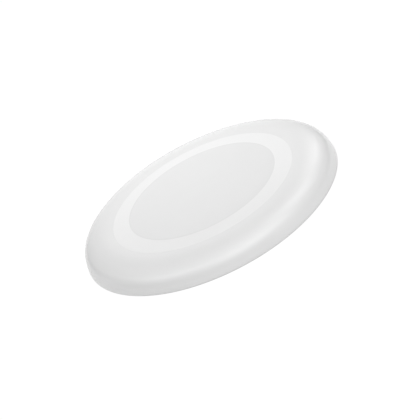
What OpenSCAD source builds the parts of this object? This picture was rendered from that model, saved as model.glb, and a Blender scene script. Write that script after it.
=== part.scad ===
// Flying disc. The top comes down from the middle in terraces: a gently crowned centre
// field, a ring band one fine step lower, and after another fine step a wide rim, which
// turns down over the shoulder and ends in a rounded lip. The underside is hollow.
// The disc lies crown up on its lip. The origin is on the disc's axis, level with the
// bottom of the lip, and +Z points up through the crown.

/* [Disc] */
// Diameter over the rim
disc_d = 230; // [224:1:238]
// Height from the bottom of the lip to the middle of the crowned field
disc_h = 20; // [20:0.5:30]

/* [Flight plate] */
// Diameter of the centre field, inside its bevelled edge
field_d = 131.4; // [122:0.2:138]
// How far the middle of the field stands above its edge
crown_rise = 0.8; // [0.2:0.1:0.9]
// Thickness of the plate
plate_t = 1.9; // [1.5:0.1:2.5]
// Diameter of the moulding gate's stub under the centre
gate_d = 6; // [3:0.5:12]
// How far the gate's stub stands below the plate
gate_h = 0.4; // [0.2:0.1:1]

/* [Steps] */
// Height of each of the two bevelled steps on the top face
step_h = 0.1; // [0.05:0.05:0.15]
// Width of the bevels, measured level
step_w = 1.3; // [0.8:0.1:2]

/* [Ring band] */
// Width of the band, its outer bevel included
band_w = 15.1; // [11:0.1:18]
// How far the band falls from its inner edge to its outer bevel
band_fall = 0.95; // [0.3:0.05:1.05]
// Thickness of the band, less than the plate's
band_t = 0.9; // [0.7:0.1:1.2]

/* [Rim] */
// Radius of the long, nearly level curve outside the band
brow_r = 76; // [60:1:82]
// Radius of the shoulder
shoulder_r = 32; // [24:1:33]
// Radius of the tight turn into the outer wall
nose_r = 10.5; // [7:0.1:10.7]
// Radius of the outer wall's own curve
wall_r = 18.5; // [14:0.1:18.7]

/* [Lip] */
// Thickness of the lip, heavier than the rest of the wall
lip_t = 2.8; // [2.6:0.1:4]
// Rounding of the lip's two bottom edges
lip_round = 0.8; // [0.5:0.1:0.9]

/* [Hidden] */
$fn = 180;

// Largest turn between two neighbouring points of a curve, in degrees
curve_step = 2.5;

// Radii of the circles on the top face, from the inside out
field_r = field_d / 2;
band_in_r = field_r + step_w;
band_out_r = band_in_r + band_w;
bevel_r = band_out_r - step_w;

// Heights on the top face: the field's edge, the band's inner edge, the top and the foot
// of the band's bevel
field_z = disc_h - crown_rise;
band_in_z = field_z - step_h;
bevel_z = band_in_z - band_fall;
band_out_z = bevel_z - step_h;

// The crown is a shallow cap of a sphere. These are points on its outline from the axis
// to the field's edge, lowered by depth.
crown_r = (field_r * field_r + crown_rise * crown_rise) / (2 * crown_rise);
crown_steps = 12;
function crown(depth) =
    [for (k = [0:crown_steps])
        let (r = field_r * k / crown_steps)
        [r, disc_h - depth - crown_r + sqrt(crown_r * crown_r - r * r)]];
function reversed(points) = [for (i = [len(points) - 1:-1:0]) points[i]];

// The rim's outline is a chain of four arcs. Each arc takes the downward slope, in
// degrees, from one of these values to the next.
rim_slopes = [1.5, 12, 26, 65, 90];
rim_radii = [brow_r, shoulder_r, nose_r, wall_r];
arc_count = len(rim_radii);

// How far one arc of the chain reaches outward and how far it falls, then the same for
// all arcs before arc i
function reach(i) = rim_radii[i] * (sin(rim_slopes[i + 1]) - sin(rim_slopes[i]));
function fall(i) = rim_radii[i] * (cos(rim_slopes[i]) - cos(rim_slopes[i + 1]));
function reach_before(i) = i == 0 ? 0 : reach_before(i - 1) + reach(i - 1);
function fall_before(i) = i == 0 ? 0 : fall_before(i - 1) + fall(i - 1);

// The chain ends at the disc's full radius. It starts on a straight line that leaves
// the band's outer edge at the first slope.
brow_start_r = disc_d / 2 - reach_before(arc_count);
brow_start_z = band_out_z - (brow_start_r - band_out_r) * tan(rim_slopes[0]);

// Points along arc i after its first, each as [radius, height, slope of the surface]
function arc_points(i) =
    let (
        start = [brow_start_r + reach_before(i), brow_start_z - fall_before(i)],
        from = rim_slopes[i],
        turn = rim_slopes[i + 1] - from,
        steps = ceil(turn / curve_step)
    )
    [for (k = [1:steps])
        let (slope = from + turn * k / steps)
        [
            start.x + rim_radii[i] * (sin(slope) - sin(from)),
            start.y + rim_radii[i] * (cos(slope) - cos(from)),
            slope
        ]];

rim_curve = concat(
    [[brow_start_r, brow_start_z, rim_slopes[0]]],
    [for (i = [0:arc_count - 1]) each arc_points(i)]
);

// The wall keeps the plate's thickness up to the last arc, and there it swells to the
// lip's.
last_slope = rim_slopes[arc_count - 1];
function wall_at(slope) =
    plate_t + (lip_t - plate_t) * max(0, slope - last_slope) / (90 - last_slope);
function inner_point(p) = [p[0] - wall_at(p[2]) * sin(p[2]), p[1] - wall_at(p[2]) * cos(p[2])];

// A quarter circle of the lip's rounding, from one angle to another
function lip_corner(centre_r, from, to) =
    [for (k = [0:6])
        let (angle = from + (to - from) * k / 6)
        [centre_r + lip_round * cos(angle), lip_round + lip_round * sin(angle)]];

// The underside of the plate follows the top face, one thickness below.
module flight_plate() {
    color("whitesmoke")
    union() {
        rotate_extrude()
        polygon(concat(
            crown(0),
            [
                [band_in_r, band_in_z],
                [band_in_r, band_in_z - band_t],
                [band_out_r, bevel_z - band_t],
                [band_out_r, band_out_z - plate_t],
                [bevel_r, bevel_z - plate_t],
                [band_in_r, band_in_z - plate_t]
            ],
            reversed(crown(plate_t))
        ));
        translate([0, 0, disc_h - plate_t - gate_h])
        cylinder(d = gate_d, h = gate_h + plate_t / 2);
    }
}

// The band lies in the plate's recess, between the foot of the field's bevel and the rim.
module ring_band() {
    color("white")
    rotate_extrude()
    polygon([
        [band_in_r, band_in_z],
        [bevel_r, bevel_z],
        [band_out_r, band_out_z],
        [band_out_r, bevel_z - band_t],
        [band_in_r, band_in_z - band_t]
    ]);
}

module rim() {
    color("gainsboro")
    rotate_extrude()
    polygon(concat(
        [[band_out_r, band_out_z]],
        [for (p = rim_curve) [p[0], p[1]]],
        lip_corner(disc_d / 2 - lip_round, 0, -90),
        lip_corner(disc_d / 2 - lip_t + lip_round, -90, -180),
        [for (p = reversed(rim_curve)) inner_point(p)],
        [[band_out_r, band_out_z - plate_t]]
    ));
}

flight_plate();
ring_band();
rim();
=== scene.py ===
"""Looks of the flying disc: three turned plastic pieces on a white table under soft light.

All lengths are in metres and all angles in degrees, in the same frame as the CAD: the
disc lies crown up on its lip, its axis is the Z axis, and the floor is at z = 0.
"""

import math

import bmesh
import bpy
from mathutils import Matrix, Vector


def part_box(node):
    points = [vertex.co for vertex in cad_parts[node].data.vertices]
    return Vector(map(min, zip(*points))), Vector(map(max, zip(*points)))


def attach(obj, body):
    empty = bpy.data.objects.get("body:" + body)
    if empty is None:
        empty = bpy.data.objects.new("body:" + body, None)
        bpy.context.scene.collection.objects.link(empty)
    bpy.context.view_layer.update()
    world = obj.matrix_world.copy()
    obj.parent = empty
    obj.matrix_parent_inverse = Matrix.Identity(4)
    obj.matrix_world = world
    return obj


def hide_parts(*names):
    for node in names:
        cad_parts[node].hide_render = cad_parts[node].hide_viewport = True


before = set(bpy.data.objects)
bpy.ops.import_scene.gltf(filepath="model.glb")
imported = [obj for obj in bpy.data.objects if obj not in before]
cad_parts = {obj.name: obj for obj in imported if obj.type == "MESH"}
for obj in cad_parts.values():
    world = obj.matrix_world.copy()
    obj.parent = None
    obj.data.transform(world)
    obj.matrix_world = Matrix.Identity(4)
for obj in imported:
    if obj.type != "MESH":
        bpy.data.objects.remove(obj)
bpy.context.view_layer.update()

MM = 0.001

# ---------------------------------------------------------------- sizes of the disc

rim_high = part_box("rim")[1]
band_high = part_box("ring_band")[1]
plate_low, plate_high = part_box("flight_plate")

DISC_R = rim_high.x  # over the rim
BAND_OUT_R = band_high.x  # where the band and the rim meet
TOP_Z = plate_high.z  # the middle of the crowned field, the highest point
CROWN_RISE = 0.8 * MM  # from the field's edge up to its middle
FIELD_Z = TOP_Z - CROWN_RISE  # the field's edge
BAND_IN_Z = band_high.z
BAND_OUT_Z = rim_high.z
STEP_H = FIELD_Z - BAND_IN_Z  # each of the two bevelled steps on the top face
STEP_W = 1.3 * MM
BAND_IN_R = 67.0 * MM  # where the plate's bevel ends and the band starts
BAND_T = 0.9 * MM  # thickness of the band
PLATE_T = 1.9 * MM  # thickness of the plate and of the rim's wall
LIP_T = 2.8 * MM
LIP_ROUND = 0.8 * MM
GATE_R = 3.0 * MM  # the moulding gate's stub under the middle
GATE_FOOT_R = 2.7 * MM

FIELD_R = BAND_IN_R - STEP_W
BEVEL_R = BAND_OUT_R - STEP_W
BEVEL_Z = BAND_OUT_Z + STEP_H
CROWN_R = (FIELD_R**2 + CROWN_RISE**2) / (2 * CROWN_RISE)  # the crown is part of a sphere
CROWN_SLOPE = math.degrees(math.asin(FIELD_R / CROWN_R))
BAND_SLOPE = math.degrees(math.atan2(BAND_IN_Z - BEVEL_Z, BEVEL_R - BAND_IN_R))

# The rim's outline from the band to the lip: the slope at the ends of each arc, and
# the arcs' radii.
RIM_SLOPES = (1.5, 12.0, 26.0, 65.0, 90.0)
RIM_RADII = (76.0 * MM, 32.0 * MM, 10.5 * MM, 18.5 * MM)

SEGMENTS = 300  # round the disc
CORNER_STEPS = 8  # along a quarter circle of the lip's rounding
ON_AXIS = 1e-7  # a point nearer the axis than this lies on it
SHARP_ANGLE = 28.0  # edges that turn by more than this stay sharp


# ---------------------------------------------------------------- outlines


def circle_arc(centre, radius, start, end, steps):
    """Points on a circle in the outline's plane, from one angle to another."""
    points = []
    for k in range(steps + 1):
        angle = math.radians(start + (end - start) * k / steps)
        points.append((centre[0] + radius * math.cos(angle), centre[1] + radius * math.sin(angle)))
    return points


def soft_step(start, end, slope_in, slope_out, steps=8):
    """Points of a bevel between two points that blends into the slopes at its two ends."""
    width = end[0] - start[0]
    drop_in = width * math.tan(math.radians(slope_in))
    drop_out = width * math.tan(math.radians(slope_out))
    points = []
    for k in range(steps + 1):
        t = k / steps
        z = start[1] + (end[1] - start[1]) * t * t * (3 - 2 * t)
        z -= drop_in * t * (1 - t) ** 2 - drop_out * t * t * (1 - t)
        points.append((start[0] + width * t, z))
    return points


def straight(start, end, steps):
    """Evenly spaced points on a line, both ends included."""
    return [
        (start[0] + (end[0] - start[0]) * k / steps, start[1] + (end[1] - start[1]) * k / steps)
        for k in range(steps + 1)
    ]


def rim_curve(step=1.5):
    """The rim's outer face from the brow to the lip, as (radius, height, slope)."""
    reach = sum(
        r * (math.sin(math.radians(b)) - math.sin(math.radians(a)))
        for r, a, b in zip(RIM_RADII, RIM_SLOPES, RIM_SLOPES[1:])
    )
    x = DISC_R - reach
    z = BAND_OUT_Z - (x - BAND_OUT_R) * math.tan(math.radians(RIM_SLOPES[0]))
    curve = [(x, z, RIM_SLOPES[0])]
    for radius, a, b in zip(RIM_RADII, RIM_SLOPES, RIM_SLOPES[1:]):
        steps = math.ceil((b - a) / step)
        sin_a, cos_a = math.sin(math.radians(a)), math.cos(math.radians(a))
        for k in range(1, steps + 1):
            slope = a + (b - a) * k / steps
            angle = math.radians(slope)
            out = x + radius * (math.sin(angle) - sin_a)
            curve.append((out, z + radius * (math.cos(angle) - cos_a), slope))
        x, z = curve[-1][:2]
    return curve


def wall_at(slope):
    """Wall thickness where the rim's outer face has that slope."""
    last = RIM_SLOPES[-2]
    return PLATE_T + (LIP_T - PLATE_T) * max(0.0, slope - last) / (RIM_SLOPES[-1] - last)


def rim_outline():
    curve = rim_curve()
    points = [(BAND_OUT_R, BAND_OUT_Z)]
    points += [(x, z) for x, z, _ in curve]
    points += circle_arc((DISC_R - LIP_ROUND, LIP_ROUND), LIP_ROUND, 0, -90, CORNER_STEPS)
    inner_corner = (DISC_R - LIP_T + LIP_ROUND, LIP_ROUND)
    points += circle_arc(inner_corner, LIP_ROUND, -90, -180, CORNER_STEPS)
    for x, z, slope in reversed(curve):
        angle = math.radians(slope)
        wall = wall_at(slope)
        points.append((x - wall * math.sin(angle), z - wall * math.cos(angle)))
    points.append((BAND_OUT_R, BAND_OUT_Z - PLATE_T))
    return points


def crown(depth=0.0, start=0.0, steps=24):
    """The crowned field's outline from radius start to its edge, lowered by depth."""
    points = []
    for k in range(steps + 1):
        r = start + (FIELD_R - start) * k / steps
        points.append((r, TOP_Z - depth - CROWN_R + math.sqrt(CROWN_R**2 - r**2)))
    return points


def field_bevel(depth=0.0):
    return soft_step((FIELD_R, FIELD_Z - depth), (BAND_IN_R, BAND_IN_Z - depth), CROWN_SLOPE, BAND_SLOPE)


def band_bevel(depth=0.0):
    return soft_step((BEVEL_R, BEVEL_Z - depth), (BAND_OUT_R, BAND_OUT_Z - depth), BAND_SLOPE, RIM_SLOPES[0])


def band_outline():
    points = straight((BAND_IN_R, BAND_IN_Z), (BEVEL_R, BEVEL_Z), 6)
    points += band_bevel()[1:]
    points.append((BAND_OUT_R, BEVEL_Z - BAND_T))
    points.append((BAND_IN_R, BAND_IN_Z - BAND_T))
    return points


def plate_outline():
    points = crown()
    points += field_bevel()[1:]
    points.append((BAND_IN_R, BAND_IN_Z - BAND_T))
    points.append((BAND_OUT_R, BEVEL_Z - BAND_T))
    points += reversed(band_bevel(PLATE_T))
    points += reversed(field_bevel(PLATE_T))
    points += list(reversed(crown(PLATE_T, GATE_R)))[1:]
    points += [(GATE_FOOT_R, plate_low.z), (0.0, plate_low.z)]
    return points


# ---------------------------------------------------------------- meshes


def turned(name, outline):
    """A closed mesh made by turning an outline once round the Z axis."""
    mesh = bmesh.new()
    turns = [math.tau * k / SEGMENTS for k in range(SEGMENTS)]
    rings = []
    for x, z in outline:
        if x < ON_AXIS:
            rings.append([mesh.verts.new((0.0, 0.0, z))])
            continue
        rings.append([mesh.verts.new((x * math.cos(turn), x * math.sin(turn), z)) for turn in turns])
    closed = len(rings[0]) > 1
    pairs = list(zip(rings, rings[1:] + ([rings[0]] if closed else [])))
    for a, b in pairs:
        if len(a) == 1 and len(b) == 1:
            continue
        for k in range(SEGMENTS):
            n = (k + 1) % SEGMENTS
            corners = [a[k % len(a)], b[k % len(b)], b[n % len(b)], a[n % len(a)]]
            mesh.faces.new(list(dict.fromkeys(corners)))  # a point on the axis counts once
    bmesh.ops.recalc_face_normals(mesh, faces=mesh.faces)
    data = bpy.data.meshes.new(name)
    mesh.to_mesh(data)
    mesh.free()
    data.shade_smooth()
    data.set_sharp_from_angle(angle=math.radians(SHARP_ANGLE))
    piece = bpy.data.objects.new(name, data)
    bpy.context.scene.collection.objects.link(piece)
    return piece


# ---------------------------------------------------------------- materials


class Nodes:
    """Short calls that add nodes to one node tree."""

    def __init__(self, tree):
        self.tree = tree

    def add(self, kind, **settings):
        node = self.tree.nodes.new(kind)
        for key, value in settings.items():
            setattr(node, key, value)
        return node

    def join(self, source, target):
        self.tree.links.new(source, target)

    def math(self, operation, a, b=0.0):
        node = self.add("ShaderNodeMath", operation=operation)
        for socket, value in zip(node.inputs, (a, b)):
            if isinstance(value, (int, float)):
                socket.default_value = value
            else:
                self.join(value, socket)
        return node.outputs[0]

    def noise(self, vector, scale, detail):
        node = self.add("ShaderNodeTexNoise")
        node.inputs["Scale"].default_value = scale
        node.inputs["Detail"].default_value = detail
        self.join(vector, node.inputs["Vector"])
        return node.outputs[0]

    def remap(self, value, low, high, from_low, from_high):
        """Takes from_low to low and from_high to high, smoothly, and stays level outside."""
        node = self.add("ShaderNodeMapRange", interpolation_type="SMOOTHSTEP")
        node.inputs["From Min"].default_value = from_low
        node.inputs["From Max"].default_value = from_high
        node.inputs["To Min"].default_value = low
        node.inputs["To Max"].default_value = high
        self.join(value, node.inputs["Value"])
        return node.outputs["Result"]


# Scales of the patterns, in cells per metre
CLOUD_SCALE = 30.0
RUBBED_SCALE = 22.0
GRAIN_SCALE = 2600.0
RINGS_SCALE = 900.0

CLOUD_SHADE = 0.99  # the darkest part of the cloudiness, as a share of the colour
RINGS_DEPTH = 0.5  # the turned rings, as a share of the grain's depth
PLASTIC_IOR = 1.49


def mould_relief(nodes, place):
    """An even grain, and the faint rings that a mould turned on a lathe leaves."""
    flat = nodes.add("ShaderNodeVectorMath", operation="MULTIPLY")
    nodes.join(place, flat.inputs[0])
    flat.inputs[1].default_value = (1.0, 1.0, 0.0)
    radius = nodes.add("ShaderNodeVectorMath", operation="LENGTH")
    nodes.join(flat.outputs[0], radius.inputs[0])
    height = nodes.add("ShaderNodeSeparateXYZ")
    nodes.join(place, height.inputs[0])
    outline = nodes.add("ShaderNodeCombineXYZ")
    nodes.join(radius.outputs["Value"], outline.inputs["X"])
    nodes.join(height.outputs["Z"], outline.inputs["Z"])
    rings = nodes.noise(outline.outputs[0], RINGS_SCALE, detail=1.0)
    grain = nodes.noise(place, GRAIN_SCALE, detail=1.0)
    return nodes.math("ADD", grain, nodes.math("MULTIPLY", rings, RINGS_DEPTH))


def plastic(name, colour, gloss, grain, handled):
    """Moulded white plastic.

    gloss is its mean roughness, grain the depth of its fine grain, and handled how much
    the roughness wanders where hands and grass have rubbed it.
    """
    material = bpy.data.materials.new(name)
    material.use_nodes = True
    tree = material.node_tree
    nodes = Nodes(tree)
    shader = tree.nodes["Principled BSDF"]
    shader.inputs["IOR"].default_value = PLASTIC_IOR
    place = nodes.add("ShaderNodeTexCoord").outputs["Object"]

    cloud = nodes.noise(place, CLOUD_SCALE, detail=3.0)
    tint = nodes.add("ShaderNodeMix", data_type="RGBA", blend_type="MULTIPLY")
    tint.inputs["Factor"].default_value = 1.0
    tint.inputs["A"].default_value = (*colour, 1.0)
    nodes.join(nodes.remap(cloud, CLOUD_SHADE, 1.0, 0.3, 0.7), tint.inputs["B"])
    nodes.join(tint.outputs["Result"], shader.inputs["Base Color"])

    rubbed = nodes.noise(place, RUBBED_SCALE, detail=2.0)
    rough = nodes.remap(rubbed, gloss - handled, gloss + handled, 0.25, 0.75)
    nodes.join(rough, shader.inputs["Roughness"])

    bump = nodes.add("ShaderNodeBump")
    bump.inputs["Strength"].default_value = 1.0
    bump.inputs["Distance"].default_value = grain
    nodes.join(mould_relief(nodes, place), bump.inputs["Height"])
    nodes.join(bump.outputs["Normal"], shader.inputs["Normal"])
    return material


# ---------------------------------------------------------------- the pieces

PLATE_PLASTIC = plastic("plate_plastic", (0.76, 0.76, 0.76), 0.22, 0.008 * MM, 0.006)
BAND_PLASTIC = plastic("band_plastic", (0.85, 0.85, 0.85), 0.20, 0.003 * MM, 0.004)
RIM_PLASTIC = plastic("rim_plastic", (0.78, 0.78, 0.78), 0.24, 0.008 * MM, 0.010)


def add_piece(name, outline, node, material):
    piece = turned(name, outline)
    piece.data.materials.append(material)
    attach(piece, "root")
    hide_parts(node)
    return piece


add_piece("plate_turned", plate_outline(), "flight_plate", PLATE_PLASTIC)
add_piece("band_turned", band_outline(), "ring_band", BAND_PLASTIC)
add_piece("rim_turned", rim_outline(), "rim", RIM_PLASTIC)

# ---------------------------------------------------------------- stage

TABLE_HALF = 3.0  # half the table's width
WHITE = 1.02  # radiance of the table and of the backdrop behind it
PAINTED_SHADOW = 0.15  # painted shadow: radiance of the table under the disc
PAINTED_SHADOW_R = (113.5 * MM, 116.0 * MM)  # where that painted shadow starts to fade and where it ends


def lit_table():
    """An evenly glowing white surface, with a shadow painted into its glow under the disc."""
    material = bpy.data.materials.new("lit_table")
    material.use_nodes = True
    tree = material.node_tree
    tree.nodes.clear()
    nodes = Nodes(tree)
    radius = nodes.add("ShaderNodeVectorMath", operation="LENGTH")
    nodes.join(nodes.add("ShaderNodeTexCoord").outputs["Object"], radius.inputs[0])
    emission = nodes.add("ShaderNodeEmission")
    # painted shadow: the glow is turned down by the distance from the disc's axis, not cast by any light
    nodes.join(nodes.remap(radius.outputs["Value"], PAINTED_SHADOW, WHITE, *PAINTED_SHADOW_R), emission.inputs["Strength"])
    output = nodes.add("ShaderNodeOutputMaterial")
    nodes.join(emission.outputs[0], output.inputs["Surface"])
    return material


def add_table():
    corners = [(x * TABLE_HALF, y * TABLE_HALF, 0.0) for x, y in ((-1, -1), (1, -1), (1, 1), (-1, 1))]
    mesh = bpy.data.meshes.new("floor")
    mesh.from_pydata(corners, [], [(0, 1, 2, 3)])
    mesh.materials.append(lit_table())
    table = bpy.data.objects.new("floor", mesh)
    bpy.context.scene.collection.objects.link(table)


add_table()

# ---------------------------------------------------------------- light

# Soft lights of the studio, all far away. Each has its azimuth from +X towards +Y, its
# elevation and its spread, all in degrees, and its radiance.
SOFT_LIGHTS = {
    "overhead": (300, 80, 15, 0.8),
    "front_high": (270, 50, 15, 2.1),
    "front_right": (315, 10, 15, 1.0),
    "right_high": (325, 65, 15, 2.2),
    "left_high": (185, 60, 15, 2.0),
    "left_low": (150, 0, 10, 1.3),
    "back_low": (90, 5, 12, 1.6),
    "back_mid": (90, 25, 5, 1.4),
    "strip_low": (70, 30, 5, 3.5),
    "strip_mid": (60, 50, 6, 3.6),
    "strip_high": (40, 75, 10, 1.5),
}


def add_studio(lights):
    """A dark room whose soft lights are smooth spots on the far surroundings."""
    world = bpy.data.worlds.new("studio")
    bpy.context.scene.world = world
    world.use_nodes = True
    nodes = Nodes(world.node_tree)
    direction = nodes.add("ShaderNodeTexCoord").outputs["Generated"]
    total = None
    for name, (azimuth, elevation, spread, radiance) in lights.items():
        a, e = math.radians(azimuth), math.radians(elevation)
        along = nodes.add("ShaderNodeVectorMath", operation="DOT_PRODUCT", label=name)
        nodes.join(direction, along.inputs[0])
        along.inputs[1].default_value = (math.cos(e) * math.cos(a), math.cos(e) * math.sin(a), math.sin(e))
        off = nodes.math("SUBTRACT", along.outputs["Value"], 1.0)
        sharp = nodes.math("MULTIPLY", off, 1.0 / math.radians(spread) ** 2)
        spot = nodes.math("MULTIPLY", nodes.math("EXPONENT", sharp), radiance)
        total = spot if total is None else nodes.math("ADD", total, spot)
    # The camera sees a plain white backdrop in place of the lights themselves
    backdrop = nodes.add("ShaderNodeMix", data_type="FLOAT")
    nodes.join(nodes.add("ShaderNodeLightPath").outputs["Is Camera Ray"], backdrop.inputs["Factor"])
    nodes.join(total, backdrop.inputs["A"])
    backdrop.inputs["B"].default_value = WHITE
    background = world.node_tree.nodes["Background"]
    background.inputs["Color"].default_value = (1.0, 1.0, 1.0, 1.0)
    nodes.join(backdrop.outputs["Result"], background.inputs["Strength"])


add_studio(SOFT_LIGHTS)
bpy.context.scene.view_settings.view_transform = "Standard"

# ---------------------------------------------------------------- camera

VIEW_ELEVATION = 26.33  # above the horizon
VIEW_ROLL = 27.76  # the disc's level line rises to the right by this much
VIEW_Z = 19.0 * MM  # height of the point on the disc's axis that the view is set from
VIEW_DISTANCE = 1.505  # from that point
LENS = 154.3
SENSOR = 36.0
# How far the middle of the view lies from that point, along the view's own right and down
AIM_RIGHT = 7.30 * MM
AIM_DOWN = 16.69 * MM


def add_camera():
    level_right = Vector((1.0, 0.0, 0.0))
    elevation = math.radians(VIEW_ELEVATION)
    towards = Vector((0.0, math.cos(elevation), -math.sin(elevation)))
    level_up = level_right.cross(towards)
    roll = math.radians(VIEW_ROLL)
    right = level_right * math.cos(roll) - level_up * math.sin(roll)
    up = level_right * math.sin(roll) + level_up * math.cos(roll)
    centre = Vector((0.0, 0.0, VIEW_Z))
    eye = centre - towards * VIEW_DISTANCE
    aim = centre + right * AIM_RIGHT - up * AIM_DOWN
    look = (aim - eye).normalized()
    right = (right - look * right.dot(look)).normalized()
    up = right.cross(look)
    data = bpy.data.cameras.new("camera")
    data.sensor_width = SENSOR
    data.lens = LENS
    data.clip_start = 0.01
    data.clip_end = 50.0
    camera = bpy.data.objects.new("camera", data)
    camera.matrix_world = Matrix.Translation(eye) @ Matrix((right, up, -look)).transposed().to_4x4()
    bpy.context.scene.collection.objects.link(camera)
    bpy.context.scene.camera = camera


add_camera()
